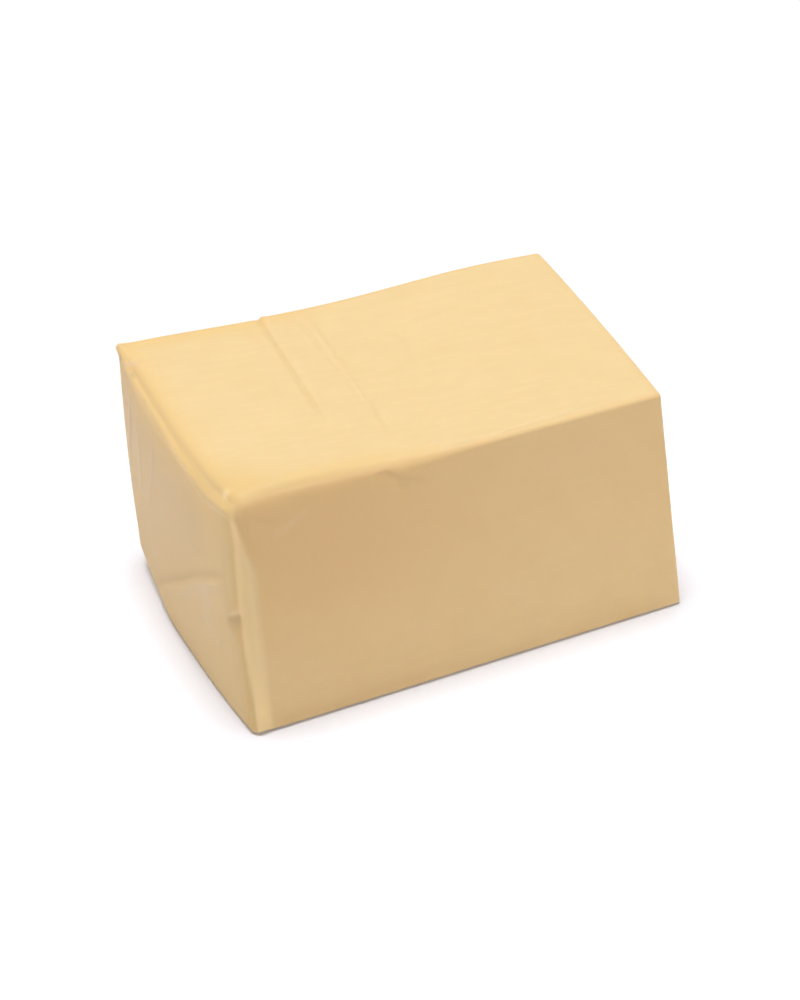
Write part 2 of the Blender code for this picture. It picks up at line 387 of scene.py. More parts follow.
# Past the lap's edge: the step's rise and fall, and the place and reach of its ridge and groove.
LAP_RISE, LAP_FALL = (0.0, 1.5), (0.0, 34.0)
LAP_RIDGE, LAP_GROOVE = (1.9, 0.9), (0.0, 0.8)
TOP_LINES = {
    # width, share that tapers at each tip, and path along and across the block
    "crease_left": (
        0.75, 0.18, ((-13.2, 46.7), (-13.0, 40.6), (-12.7, 22.5), (-12.4, 11.2), (-12.6, -1.3),
                     (-12.7, -24.0)),
    ),
    "crease_right": (
        0.75, 0.18, ((-8.8, 46.7), (-9.4, 35.6), (-10.0, 19.6), (-10.6, 4.0), (-10.8, -8.4), (-11.6, -20.3),
                     (-12.3, -34.5)),
    ),
    "crease_ridge": (0.9, 0.18, ((-11.4, 46.7), (-11.4, 10.0), (-11.9, -22.0))),
    "crease_bent": (
        1.0, 0.3, ((-2.0, 24.5), (3.1, 26.8), (7.0, 24.3), (8.9, 21.0), (10.1, 17.0), (10.1, 13.0),
                   (8.9, 6.7), (6.2, -4.7)),
    ),
}
TOP_WEIGHTS = {
    # height in mm, film come away, painted shading: shade in a groove, highlight on a ridge
    "lap_step": (0.55, 0.0, 0.0),
    "lap_ridge": (0.22, 0.0, 0.12),
    "lap_groove": (-0.30, 0.0, -0.15),
    "crease_left": (-0.26, 0.0, -0.06),
    "crease_right": (-0.30, 0.0, -0.12),
    "crease_ridge": (0.20, 0.0, 0.15),
    "crease_bent": (-0.18, 0.0, -0.06),
}
LAP_MILKY = 0.05


def top_relief(x, y, z):
    """Height, film come away and painted shading of the lap and creases; the film comes away with the
    height.
    """
    top = on_side(z, HEIGHT)
    down_back = on_side(y, BACK) * smooth_step(z, *LAP_ENDS_ON_BACK)
    lap = smooth_step(y, *LAP_GROWS_FROM_FRONT) * np.maximum(top, down_back)
    past = x - LAP_X - LAP_SLANT * y
    marks = {
        "lap_step": lap * window(past, LAP_RISE, LAP_FALL),
        "lap_ridge": lap * bell(past, *LAP_RIDGE),
        "lap_groove": lap * bell(past, *LAP_GROOVE),
        **line_marks(x, y, TOP_LINES, top),
    }
    height, away, tone = add_up("lap and creases", marks, TOP_WEIGHTS)
    return height, away + LAP_MILKY * np.abs(height) / TOP_WEIGHTS["lap_step"][0], tone


top_marks = top_relief(x, y, z)

# %% [markdown]
# The folded end is the busiest. Gathered film makes a thin rim below the top edge, with a valley and a
# sunken slope between the two. Under it a flap is folded up across the end from below, with a tongue and
# a small tuck near its front. Above the flap the film is whitened by a painted sheen, with streaks, one of
# them a painted glint. Painted highlights run along the rim's lip and under the rim, the flap's edge, the
# tongue and the tuck, and painted shade lies in the valley, on the slope, along the flap's fold, under
# the tuck and toward the bottom of the end.

# %% Paths on the folded end
RIM = (
    # place across the block, and place round the top edge
    (-46.0, -4.6), (-42.6, -4.3), (-40.4, -4.5), (-36.1, -5.3), (-30.4, -5.9), (-24.4, -4.9), (-17.3, -3.8),
    (-10.5, -3.1), (-3.6, -2.5), (6.8, -1.8), (18.1, -1.8), (27.2, -2.6), (36.1, -3.6), (46.0, -4.0),
)
FLAP = (
    (24.0, 4.0), (5.0, 19.1), (-6.9, 27.2), (-15.8, 33.9), (-23.6, 39.4), (-30.4, 43.0), (-38.7, 46.9),
    (-43.5, 47.6),
)
TUCK = ((-37.0, 35.0), (-39.6, 36.3), (-42.6, 38.4), (-45.4, 40.6))
END_LINES = {
    # width, share that tapers at each tip, and path across the block and up
    "tongue": (5.5, 0.35, ((-31.0, 42.0), (-28.8, 35.0), (-26.6, 28.0), (-25.0, 22.0), (-24.4, 16.0))),
    # The next streak is a painted glint.
    "long_glint": (1.0, 0.35, ((33.0, 65.0), (34.2, 57.6), (35.5, 52.0), (37.1, 46.8), (40.5, 36.0))),
    "back_streak": (1.0, 0.35, ((26.0, 62.0), (25.0, 48.0), (28.0, 30.0))),
    "slant_streak": (1.0, 0.35, ((8.0, 66.0), (12.0, 50.0), (22.0, 30.0))),
}
CORNER_LINES = {"notch": (0.7, 0.2, ((40.0, 69.5), (37.1, 71.3), (35.0, 72.6), (32.0, 73.0)))}
BUBBLE = (-31.2, 21.4)
# Place of a painted glint on the front corner of the rim.
RIM_GLINT = (-63.0, -39.4, 71.6)
END_WEIGHTS = {
    # height in mm, film come away, painted shading: plus a painted highlight, minus a painted shade
    "rim": (0.30, 0.28, 0.0),
    "rim_behind": (-0.165, 0.0, -0.22),
    # A painted highlight along the rim's lip.
    "rim_highlight": (0.0, 0.0, 0.65),
    "valley": (-0.12, 0.0, -0.09),
    "slope": (-0.75, 0.0, -0.09),
    "slope_behind": (0.0, 0.0, -0.09),
    "under_rim": (0.0, 0.0, 0.12),
    # A notch in the film at the back corner, pale with milky film and a painted highlight.
    "notch": (-0.15, 0.6, 0.4),
    # A painted glint: a small bump with a strong painted highlight.
    "rim_glint": (0.35, 0.08, 1.6),
    "flap_step": (0.75, 0.0, 0.0),
    "flap_line": (-0.28, 0.0, -0.30),
    "flap_edge": (0.0, 0.30, 0.22),
    "tongue": (0.15, 0.26, 0.16),
    "tuck": (0.55, 0.30, 0.50),
    # A hollow under the tuck, with a painted shadow in it.
    "under_tuck": (-0.45, 0.0, -0.48),
    # A raised streak whose milky film is a painted glint.
    "long_glint": (0.35, 0.45, 0.0),
    "back_streak": (0.15, 0.20, 0.0),
    "slant_streak": (0.15, 0.20, 0.0),
    "bubble": (0.35, 0.8, 0.0),
    # A painted sheen: milky film above the flap, strongest high on the end.
    "painted_sheen": (0.0, 0.11, 0.0),
    # Painted shade, darker toward the bottom of the end.
    "low": (0.0, 0.0, -0.18),
}
print("the rim's lowest place is", -min(place for _, place in RIM), "mm below the top edge")


# %% Rim of gathered film
RIM_GROWS, RIM_DIES, RIM_IS_BEHIND = (-46.0, -41.0), (33.0, 41.0), (-22.0, 8.0)
# Past the rim's place: the middle and reach of the rim, of the painted highlight on its lip, and of the
# valley.
RIM_BELL, RIM_HIGHLIGHT_BELL, VALLEY_BELL = (-0.3, 0.85), (-1.1, 0.55), (2.0, 1.1)
# The slope runs half way between the rim and the top edge, and a little over.
SLOPE_SHARE, SLOPE_BELL = 0.5, (1.5, 2.4)
VALLEY_GROWS = (-42.0, -16.0)


def rim_marks(x, y, z):
    """Marks of the rim along the folded end's top edge.

    They use the way round that edge: how far in from it a point lies on the top, minus how far below it
    on the end. A mark that is behind grows in toward the back.
    """
    round_edge = (x - LEFT) - (HEIGHT - z)
    place = np.interp(y, *np.array(RIM).T)
    past_rim = round_edge - place
    behind = smooth_step(y, *RIM_IS_BEHIND)
    edge = window(y, RIM_GROWS, RIM_DIES) * close_to(x, LEFT) * close_to(z, HEIGHT)
    rim = edge * bell(past_rim, *RIM_BELL)
    slope = edge * bell(round_edge - SLOPE_SHARE * place, *SLOPE_BELL)
    return {
        "rim": rim,
        "rim_behind": rim * behind,
        "rim_highlight": edge * bell(past_rim, *RIM_HIGHLIGHT_BELL) * (1.0 - behind),
        "valley": edge * bell(past_rim, *VALLEY_BELL) * smooth_step(y, *VALLEY_GROWS),
        "slope": slope,
        "slope_behind": slope * behind,
        "under_rim": on_side(x, LEFT, 3.0) * smooth_step(z, 52.0, 65.0) * smooth_step(-past_rim, 0.8, 2.0),
        "rim_glint": spot((x, y, z), RIM_GLINT, 1.2),
        **line_marks(y, z, CORNER_LINES, on_side(x, LEFT, 6.0)),
    }


# %% Flap, tuck and streaks
FLAP_TIP, TUCK_TIP, UNDER_TUCK_TIP = 0.14, 0.2, 0.3
# Off the flap's path: the step's rise and fall, and the place and reach of the line and the milky edge.
FLAP_RISE, FLAP_FALL = (0.2, 2.6), (3.0, 24.0)
FLAP_LINE, FLAP_EDGE = (0.0, 1.5), (3.6, 1.9)
TUCK_LINE, UNDER_TUCK_RISE, UNDER_TUCK_FALL = (0.0, 0.7), (0.5, 1.2), (1.4, 7.0)
# Strength of the painted sheen on the film above the flap, low and high on the end.
SHEEN_LOW, SHEEN_HIGH = 0.3, 1.9


def flap_marks(x, y, z):
    """Marks of the flap folded up across the end, its tuck, and the painted sheen above it."""
    on_end = on_side(x, LEFT, 3.0)
    off_flap, flap_share = along_path(y, z, FLAP)
    off_tuck, tuck_share = along_path(y, z, TUCK)
    flap = on_end * tapered(flap_share, FLAP_TIP)
    above_flap = smooth_step(y, -33.0, -20.0) * smooth_step(-off_flap, 1.0, 6.0)
    painted_sheen = blend(SHEEN_LOW, SHEEN_HIGH, smooth_step(z, 25.0, 56.0)) * (1.0 - smooth_step(z, 60.0, 67.0))
    low = blend(0.6, 1.0, smooth_step(y, -25.0, 5.0)) * (1.0 - smooth_step(z, 28.0, 47.0))
    under_tuck = window(off_tuck, UNDER_TUCK_RISE, UNDER_TUCK_FALL)
    return {
        "flap_step": flap * window(off_flap, FLAP_RISE, FLAP_FALL),
        "flap_line": flap * bell(off_flap, *FLAP_LINE),
        "flap_edge": flap * bell(off_flap, *FLAP_EDGE) * smooth_step(-y, 4.0, 16.0),
        "tuck": on_end * tapered(tuck_share, TUCK_TIP) * bell(off_tuck, *TUCK_LINE),
        "under_tuck": on_end * tapered(tuck_share, UNDER_TUCK_TIP) * under_tuck,
        "bubble": on_end * spot((y, z), BUBBLE, 0.7),
        "painted_sheen": on_end * above_flap * painted_sheen,
        "low": on_end * low,
        **line_marks(y, z, END_LINES, on_end),
    }


end_marks = add_up("folded end", {**rim_marks(x, y, z), **flap_marks(x, y, z)}, END_WEIGHTS)

# %% [markdown]
# A band of stretched film covers the upright edge between the folded end and the front. A painted
# highlight makes it the palest place of the pack, most of all at its foot and its crest, and a painted
# shade darkens a strip beside it on the end.

# %% Stretched band
BAND_Z = (0.0, 10.0, 26.5, 40.0, 51.0, 59.4, 67.5, 73.0)
BAND_FROM = (1.3, 0.9, -0.8, -1.5, -1.3, -0.9, -2.0, -2.6)
BAND_TO = (6.4, 6.0, 5.4, 4.9, 5.1, 3.4, -0.2, -1.3)
# Past the band's start or end: the rise and fall of its inside and of the strip, and crest, groove and lip.
BAND_RISE, BAND_FALL, STRIP_RISE, STRIP_FALL = (-0.6, 0.5), (-1.7, 0.5), (-9.0, -6.0), (-1.0, 0.0)
CREST_BELL, GROOVE_BELL, BAND_LIP_BELL = (1.4, 1.3), (-1.5, 1.1), (0.5, 0.9)
BAND_GROWS, BAND_DIES, BAND_FOOT = (0.0, 3.0), (65.5, 69.5), (3.0, 18.0)
BAND_WEIGHTS = {
    # height in mm, film come away, painted shading: plus a painted highlight, minus a painted shade
    "inside": (0.18, 0.03, 0.45),
    # A painted highlight at the band's foot.
    "foot_highlight": (0.0, 0.0, 0.50),
    "crest": (0.18, 0.03, 0.35),
    "groove": (-0.10, 0.0, -0.05),
    # A painted shade in a strip beside the band.
    "shade_strip": (0.0, 0.0, -0.10),
    "lip": (-0.16, 0.0, -0.08),
}


def band_relief(x, y, z):
    """Height, film come away, and painted shading, of the stretched band over the upright front-left edge.

    The way round that edge is the distance from it on the front, minus the distance on the end.
    """
    round_edge = (x - LEFT) - (y - FRONT)
    past_start, past_end = (round_edge - np.interp(z, BAND_Z, places) for places in (BAND_FROM, BAND_TO))
    upright = window(z, BAND_GROWS, BAND_DIES) * close_to(x, LEFT) * close_to(y, FRONT)
    inside = upright * smooth_step(past_start, *BAND_RISE) * (1.0 - smooth_step(past_end, *BAND_FALL))
    marks = {
        "inside": inside,
        "foot_highlight": inside * (1.0 - smooth_step(z, *BAND_FOOT)),
        "crest": upright * bell(past_start, *CREST_BELL),
        "groove": upright * bell(past_start, *GROOVE_BELL),
        "shade_strip": upright * window(past_start, STRIP_RISE, STRIP_FALL) * (1.0 - inside),
        "lip": upright * bell(past_end, *BAND_LIP_BELL),
    }
    return add_up("stretched band", marks, BAND_WEIGHTS)


band_marks = band_relief(x, y, z)

# %% [markdown]
# The front is nearly plain. A few faint crinkles lie under its top edge, the raised ones with a painted
# highlight and the sunk ones with a painted shade. Toward the folded end that edge is pressed flat, with a
# lip of film and a shallow hollow under it painted darker, and at its right part the film bridges the edge
# in a thin bead with a painted highlight, which starts with a short painted glint.

# %% Crinkles of the front
CRINKLES = (
    # height in mm, and the path along the block and up
    (-0.40, (
        (-25.0, 69.2), (-19.7, 70.1), (-17.6, 68.7), (-15.7, 68.0), (-13.0, 67.4), (-10.0, 66.2),
        (-6.0, 65.8),
    )),
    (-0.30, ((-17.4, 66.6), (-14.6, 65.4), (-12.5, 64.8))),
    (0.45, ((-54.6, 59.0), (-52.4, 60.5), (-50.3, 61.3), (-48.0, 62.9), (-45.9, 63.7), (-43.0, 65.2))),
    (-0.10, ((-60.2, 67.2), (-57.0, 66.0), (-54.2, 64.0), (-50.0, 63.6))),
)
LIP = (
    (-63.0, 69.4), (-60.0, 70.4), (-55.0, 71.0), (-50.0, 70.9), (-44.6, 70.6), (-36.0, 70.8), (-26.0, 71.2),
    (-14.0, 71.6),
)
LIP_LINES = {"lip": (0.8, 0.12, LIP)}
UNDER_LIP_LINES = {"under_lip": (1.2, 0.12, [(along, up - 2.0) for along, up in LIP])}
EDGE_LINES = {
    # width, share that tapers at each tip, and path along and across the block
    "bead_and_highlight": (0.8, 0.2, ((-4.0, -44.6), (10.0, -44.3), (28.0, -43.8), (44.0, -43.2))),
    "glint": (0.8, 0.3, ((-4.2, -40.2), (-2.5, -41.0), (-1.2, -42.4))),
}
FLAT_GROWS, FLAT_DIES, FLAT_BELL = (-62.0, -52.0), (-45.0, 8.0), (-0.2, 3.0)
FRONT_WEIGHTS = {
    # height in mm, film come away, painted shading: plus a painted highlight, minus a painted shade
    "crinkles": (1.0, 0.0, 0.0),
    # A painted highlight on the raised crinkles, and a painted shade in the sunk ones.
    "raised": (0.0, 0.22, 0.35),
    "sunk": (0.0, 0.0, -0.22),
    "lip": (0.14, 0.12, 0.10),
    "under_lip": (-0.20, 0.0, -0.22),
    "bead_and_highlight": (0.12, 0.20, 0.10),
    # A painted glint: a pale painted highlight and milky film.
    "glint": (0.35, 0.50, 0.50),
    "flattened": (-0.50, 0.0, -0.10),
}


def front_relief(x, y, z):
    """Height, film come away, and painted shading, of the front's crinkles and what lies along its top edge.
    """
    front, top = on_side(y, FRONT, 3.0), on_side(z, HEIGHT)
    crinkles = [(height, front * line_mark(x, z, 0.75, 0.25, path)) for height, path in CRINKLES]
    round_edge = (y - FRONT) - (HEIGHT - z)
    edge = window(x, FLAT_GROWS, FLAT_DIES) * close_to(y, FRONT) * close_to(z, HEIGHT)
    marks = {
        "crinkles": sum(height * mark for height, mark in crinkles),
        "raised": sum(mark for height, mark in crinkles if height > 0.0),
        "sunk": sum(mark for height, mark in crinkles if height < 0.0),
        "flattened": edge * bell(round_edge, *FLAT_BELL),
        **line_marks(x, z, LIP_LINES, on_side(y, FRONT, 4.5)),
        **line_marks(x, z, UNDER_LIP_LINES, front),
        **line_marks(x, y, EDGE_LINES, top),
    }
    return add_up("front", marks, FRONT_WEIGHTS)


front_marks = front_relief(x, y, z)

# %% [markdown]
# The sides that are seldom looked at still get what such a pack has: the bag's own flat weld right across
# the plain end with its tail folded down, short pull lines that fan out from the weld's two ends, and a
# lengthwise seam underneath. They are film alone, so the cheese doesn't follow them.

# %% Weld, tail and seam
WELD_Z, WELD_WAVE, WELD_WAVELENGTH = 34.0, 0.5, 2.0 * math.pi * 17.0
WELD_ENDS = (41.0, 44.0)
TAIL_LENGTH, TAIL_WAVELENGTH = 10.0, 2.0 * math.pi * 5.3
# A pull line's places across from the middle, and its climb there for a tilt of 1.
PULL_LINE = ((44.0, 1.0), (30.0, 3.0), (12.0, 5.5))
PULL_TILTS, PULL_WIDTH, PULL_TIP = (-5.0, -2.0, 2.5, 5.5), 1.0, 0.4
SEAM_Y, SEAM_HALF_WIDTH = 9.0, 5.6
WELD_WEIGHTS = {
    # height in mm, film come away, painted shading
    "weld": (0.30, 0.40, 0.0),
    "tail": (0.22, 0.28, 0.0),
    "gathers": (0.04, 0.05, 0.0),
    "pull_lines": (0.20, 0.20, 0.0),
    "seam": (0.09, 0.40, 0.0),
}


def wave(value, wavelength):
    """A sine wave of height 1 with that wavelength."""
    return np.sin(2.0 * math.pi * value / wavelength)


def weld_relief(x, y, z):
    """Height and film come away, of the weld, its tail and gathers, the pull lines and the seam."""
    end = on_side(x, RIGHT, 1.6)
    above = z - WELD_Z - WELD_WAVE * wave(y, WELD_WAVELENGTH)
    across = 1.0 - smooth_step(np.abs(y), *WELD_ENDS)
    ragged = -above - 0.5 * wave(y, TAIL_WAVELENGTH)
    tail = smooth_step(-above, 0.4, 1.2) * (1.0 - smooth_step(ragged, TAIL_LENGTH - 0.6, TAIL_LENGTH))
    pleats = 0.5 + 0.5 * np.cos(y / 1.3 + 2.0 * np.sin(y / 7.0))
    lines = [
        [(side * across_to, WELD_Z + climb * tilt) for across_to, climb in PULL_LINE]
        for side in (-1, 1) for tilt in PULL_TILTS
    ]
    seam = 1.0 - smooth_step(np.abs(y - SEAM_Y), SEAM_HALF_WIDTH - 0.4, SEAM_HALF_WIDTH + 0.4)
    marks = {
        "weld": end * across * (bell(above, 0.9, 0.55) + bell(above, -0.9, 0.55)),
        "tail": end * across * tail,
        "gathers": end * pleats * bell(above, 4.0, 4.0) * (1.0 - smooth_step(np.abs(y), 34.0, 42.0)),
        "pull_lines": end * sum(line_mark(y, z, PULL_WIDTH, PULL_TIP, line) for line in lines),
        "seam": on_side(z, 0.0, 1.2) * seam * (1.0 - smooth_step(np.abs(x), 56.0, 60.0)),
    }
    return add_up("weld and seam", marks, WELD_WEIGHTS)


weld_marks = weld_relief(x, y, z)

# %% [markdown]
# Tight film is never quite flat. Slow ripples of a few hundredths of a millimetre break up the gloss. A
# sum of sine waves in several directions stands for them: it is the same on every run, and its
# wavelengths can be read off in millimetres.

# %% Ripples
RIPPLES = (
    # wavelength in mm, direction, phase, height in mm
    (23.0, (0.81, 0.35, 0.47), 0.4, 0.030),
    (17.0, (-0.31, 0.88, 0.36), 2.1, 0.024),
    (12.5, (0.52, -0.60, 0.61), 4.0, 0.016),
    (8.7, (0.20, 0.55, -0.81), 1.3, 0.010),
    (6.1, (0.90, 0.10, 0.42), 5.2, 0.006),
)
RIPPLES_FROM_Z = (0.0, 4.0)


def ripples(points):
    """Sum of sine waves of the way along each direction, fading out where the block stands on its base."""
    waves = (
        height * np.sin(2.0 * math.pi * (points @ np.array(way)) / wavelength + phase)
        for wavelength, way, phase, height in RIPPLES
    )
    return sum(waves) * smooth_step(points[:, 2], *RIPPLES_FROM_Z)


rippled = ripples(round_box)
print(f"ripples: from {rippled.min():+.3f} to {rippled.max():+.3f} mm")

# %% [markdown]
# ## The ears
#
# Where a flat bag goes round a square corner it has film to spare, which stands out as a small ear. Both
# upper corners of the folded end have one, and so has the back end of the weld. An ear is a bell round the
# corner that pushes the film out along one direction, so it grows out of the shell and stays part of it.

# %% Ears
EARS = (
    # place on the box, way it points, height, reach
    ((-65.0, 45.5, 72.5), (-0.80, 0.20, 0.45), 1.3, 2.6),
    ((-65.0, 32.0, 71.7), (-0.80, 0.0, 0.50), 0.5, 1.6),
    ((-63.5, -40.0, 72.2), (-0.30, -0.10, 0.90), 0.6, 1.1),
    ((65.0, 46.0, 34.0), (0.70, 0.70, 0.0), 0.7, 2.6),
)
EAR_MILKY = 0.3


def ears(box):
    """Push on each point, the sum of every ear's bell times its way, and how far the film has come away."""
    bells = [spot(box.T, place, reach) for place, _, _, reach in EARS]
    push = sum(near[:, None] * np.array(way) * height for near, (_, way, height, _) in zip(bells, EARS))
    return push, EAR_MILKY * np.maximum.reduce(bells)


ear_push, ear_away = ears(box)
print("the largest ear stands out by", round(float(np.linalg.norm(ear_push, axis=1).max()), 2), "mm")

# %% [markdown]
# ## Golden tint and painted shade
#
# The block isn't one even tint. Along the top's outer edges, over the folded end and on its soft front
# corner the cheese is tinted golden. The long sides and the plain end get a painted shade, deepest on the
# front toward the folded end and the top, and the soft front corner a painted shade of its own. Two shares
# say how much of each tint a point has.

# %% Golden and painted side shade shares
GOLDEN_EDGE, GOLDEN_CORNER = 0.75, 0.9
# Share of the painted shade on the back and on the plain end.
SIDE_SHADE_BACK, SIDE_SHADE_PLAIN_END = 0.50, 0.30
# How much painted shade darkens the soft front corner.
CORNER_SHADE = -0.16


def tints(x, y, z):
    """Shares of the golden tint and of the painted side shade, and the share of the soft front corner.

    A golden share is the greatest of three: near an outer edge of the top, on the folded end, and on the
    corner. The painted side shade's share is the greatest of the front's, the back's and the plain end's,
    and on the front it is deepest toward the folded end and the top.
    """
    to_edge = np.minimum(np.minimum(x - LEFT, y - FRONT), BACK - y)
    edge = bell(to_edge, 2.0, 5.0) * on_side(z, HEIGHT, 7.0) * (1.0 - smooth_step(x, -30.0, 10.0))
    end = np.maximum(blend(0.5, 0.85, smooth_step(z, 48.0, 66.0)), 0.8 - 0.8 * smooth_step(y, -44.0, -38.0))
    end = end * on_side(x, LEFT, 4.0)
    corner = bell(np.hypot(x - LEFT, y - FRONT), 6.0, 12.0) * on_side(z, HEIGHT, 5.0)
    golden = np.maximum.reduce([GOLDEN_EDGE * edge, end, GOLDEN_CORNER * corner])
    front_from = blend(-61.0, -65.5, smooth_step(z, 50.0, 63.0))
    front = on_side(y, FRONT, 3.0) * smooth_step(x, front_from, front_from + 3.0)
    front = front * blend(1.0, 0.4, smooth_step(x, -50.0, 40.0))
    front = front * blend(0.45, 1.0, smooth_step(z, 10.0, 55.0))
    back, plain_end = SIDE_SHADE_BACK * on_side(y, BACK, 3.0), SIDE_SHADE_PLAIN_END * on_side(x, RIGHT, 3.0)
    return golden, np.maximum.reduce([front, back, plain_end]), corner


golden, cut, corner = tints(x, y, z)
print(f"golden up to {golden.max():.2f}, cut up to {cut.max():.2f}")

# %% [markdown]
# ## Putting a shell into Blender
#
# Whole arrays go into the mesh at once. Any number that a material should know per point, such as how far
# the film has come away from the cheese, is stored as an attribute on the mesh.

# %% Mesh maker
def make_piece(name, points, quads, material, **marks):
    """A smooth mesh object at the origin from points in mm and outward quads, with its attributes."""
    mesh = bpy.data.meshes.new(name)
    mesh.vertices.add(len(points))
    mesh.vertices.foreach_set("co", (points * MM).astype(np.float32).ravel())
    mesh.loops.add(quads.size)
    mesh.loops.foreach_set("vertex_index", quads.astype(np.int32).ravel())
    mesh.polygons.add(len(quads))
    mesh.polygons.foreach_set("loop_start", np.arange(0, quads.size, 4, dtype=np.int32))
    for mark, values in marks.items():
        mesh.attributes.new(mark, "FLOAT", "POINT").data.foreach_set("value", values.astype(np.float32))
    mesh.update(calc_edges=True)
    mesh.shade_smooth()
    mesh.materials.append(material)
    piece = bpy.data.objects.new(name, mesh)
    bpy.context.scene.collection.objects.link(piece)
    print(f"{name}: {len(points)} points, lowest at {points[:, 2].min():.3f} mm")
    return piece


# %% [markdown]
# ## Materials
#
# One function turns a colour as a designer writes it into the linear numbers that light adds up in, and
# one adds a node with its settings and links.

# %% Colour and node helpers
MIX_SHARE, MIX_FIRST, MIX_SECOND, MIX_RESULT = 0, 6, 7, 2


def linear(hex_colour):
    """sRGB hex to linear red, green, blue and a solid alpha, by the standard's own curve."""
    shares = [int(hex_colour[start : start + 2], 16) / 255.0 for start in (1, 3, 5)]
    return [s / 12.92 if s <= 0.04045 else ((s + 0.055) / 1.055) ** 2.4 for s in shares] + [1.0]


def add_node(tree, kind, settings):
    """A node of that kind. Settings name its properties or inputs, and another node's output is linked."""
    node = tree.nodes.new(kind)
    for name, value in settings.items():
        if isinstance(value, bpy.types.NodeSocket):
            tree.links.new(value, node.inputs[name])
        elif isinstance(name, int) or name in node.inputs:
            node.inputs[name].default_value = value
        else:
            setattr(node, name, value)
    return node


def new_material(name):
    """An empty node material and its node tree."""
    material = bpy.data.materials.new(name)
    material.use_nodes = True
    material.node_tree.nodes.clear()
    return material, material.node_tree


print("mid grey #808080 is", round(linear("#808080")[0], 3), "in light")

# %% [markdown]
# ### The cheese
#
# Low-moisture mozzarella is an even pale yellow, a little translucent, with no rind. Its curd was
# stretched before it went into the mould, which leaves a faint grain along the block, about 2 mm from
# line to line, and a cloudy mottling where the curd knitted. The film is wetted to it, so the pair has one
# gloss, and the cheese carries that as a coat. The golden share tints it, a painted shade darkens the long
# sides and the plain end, and the marks' painted shading lightens it as a painted highlight above 0 and
# darkens it as a painted shade below 0.

# %% Pressed curd
CHEESE_PALE, CHEESE_DEEP = "#E5CB97", "#E3C893"
# The second colour on the next line paints shade on the long sides and the plain end.
CHEESE_GOLDEN, CHEESE_SIDE_SHADE = "#E5C484", "#E1BC83"
# A painted highlight colour and a painted shade colour, for the shading that goes with the marks.
CHEESE_PAINTED_LIGHT, CHEESE_PAINTED_SHADE = "#F5D89E", "#C8AA75"
CLOUD_SIZE, GRAIN_SIZE = 11.765 * MM, 1.923 * MM
GRAIN_STRETCH = 0.14
GRAIN_IN_COLOUR = 0.12
# Attribute, its tint, and the value at which the tint is full.
# The last two tints are a painted highlight for values above 0 and a painted shade for values below 0.
TINTS = (
    ("golden", CHEESE_GOLDEN, 1.0), ("cut", CHEESE_SIDE_SHADE, 1.0),
    ("tone", CHEESE_PAINTED_LIGHT, 1.0), ("tone", CHEESE_PAINTED_SHADE, -1.0),
)


def curd_material():
    """Pressed curd under wetted film: mottling of about 12 mm, grain of about 2 mm, soft satin coat."""
    material, tree = new_material("pressed_curd")
    place = add_node(tree, "ShaderNodeTexCoord", {}).outputs["Object"]
    clouds = add_node(
        tree, "ShaderNodeTexNoise",
        {"Vector": place, "Scale": 1.0 / CLOUD_SIZE, "Detail": 3.0, "Roughness": 0.55},
    )
    stretch = add_node(tree, "ShaderNodeMapping", {"Vector": place, "Scale": (GRAIN_STRETCH, 1.0, 1.0)})
    grain = add_node(
        tree, "ShaderNodeTexNoise",
        {"Vector": stretch.outputs["Vector"], "Scale": 1.0 / GRAIN_SIZE, "Detail": 4.0, "Roughness": 0.6},
    )
    mottle = add_node(tree, "ShaderNodeValToRGB", {"Fac": clouds.outputs["Fac"]})
    for stop, position, colour in zip(mottle.color_ramp.elements, (0.30, 0.70), (CHEESE_DEEP, CHEESE_PALE)):
        stop.position, stop.color = position, linear(colour)
    colour = add_node(
        tree, "ShaderNodeMix",
        {
            "data_type": "RGBA", "blend_type": "SOFT_LIGHT", MIX_SHARE: GRAIN_IN_COLOUR,
            MIX_FIRST: mottle.outputs["Color"], MIX_SECOND: grain.outputs["Fac"],
        },
    ).outputs[MIX_RESULT]
    for mark, tint, full in TINTS:
        number = add_node(tree, "ShaderNodeAttribute", {"attribute_name": mark})
        share = add_node(tree, "ShaderNodeMapRange", {"Value": number.outputs["Fac"], "From Max": full})
        colour = add_node(
            tree, "ShaderNodeMix",
            {
                "data_type": "RGBA", MIX_SHARE: share.outputs["Result"],
                MIX_FIRST: colour, MIX_SECOND: linear(tint),
            },
        ).outputs[MIX_RESULT]
    bump = add_node(
        tree, "ShaderNodeBump", {"Height": grain.outputs["Fac"], "Strength": 0.10, "Distance": 0.2 * MM}
    )
    skin = add_node(
        tree, "ShaderNodeBsdfPrincipled",
        {
            "Base Color": colour, "Normal": bump.outputs["Normal"],
            "Roughness": 0.6, "IOR": 1.45, "Specular IOR Level": 0.25,
            "Subsurface Weight": 0.15, "Subsurface Radius": (1.0, 0.55, 0.25), "Subsurface Scale": 2.0 * MM,
            "Coat Weight": 0.1, "Coat Roughness": 0.4, "Coat IOR": 1.5,
        },
    )
    add_node(tree, "ShaderNodeOutputMaterial", {"Surface": skin.outputs["BSDF"]})
    return material


curd = curd_material()
print(curd.name, "has", len(curd.node_tree.nodes), "nodes")

# %% [markdown]
# ### The film
#
# The film is a clear multilayer plastic a twentieth of a millimetre thick, blown, then shrunk by heat.
# Where it lies on the cheese it is all but invisible. Where it has come away, there is air behind it and
# it turns milky and bright. Its alpha follows that: almost nothing on the flats, and more on every fold,
# broken up into streaks about 3 mm long. The same attribute also whitens the film as a painted sheen on
# the folded end and as painted glints on its streak, its corners and the front's top edge.

# %% Shrink film
FILM = "#F4E4DA"
STREAK_SIZE = 3.333 * MM
ALPHA_ON_THE_FLATS, ALPHA_COME_AWAY = 0.015, 0.42


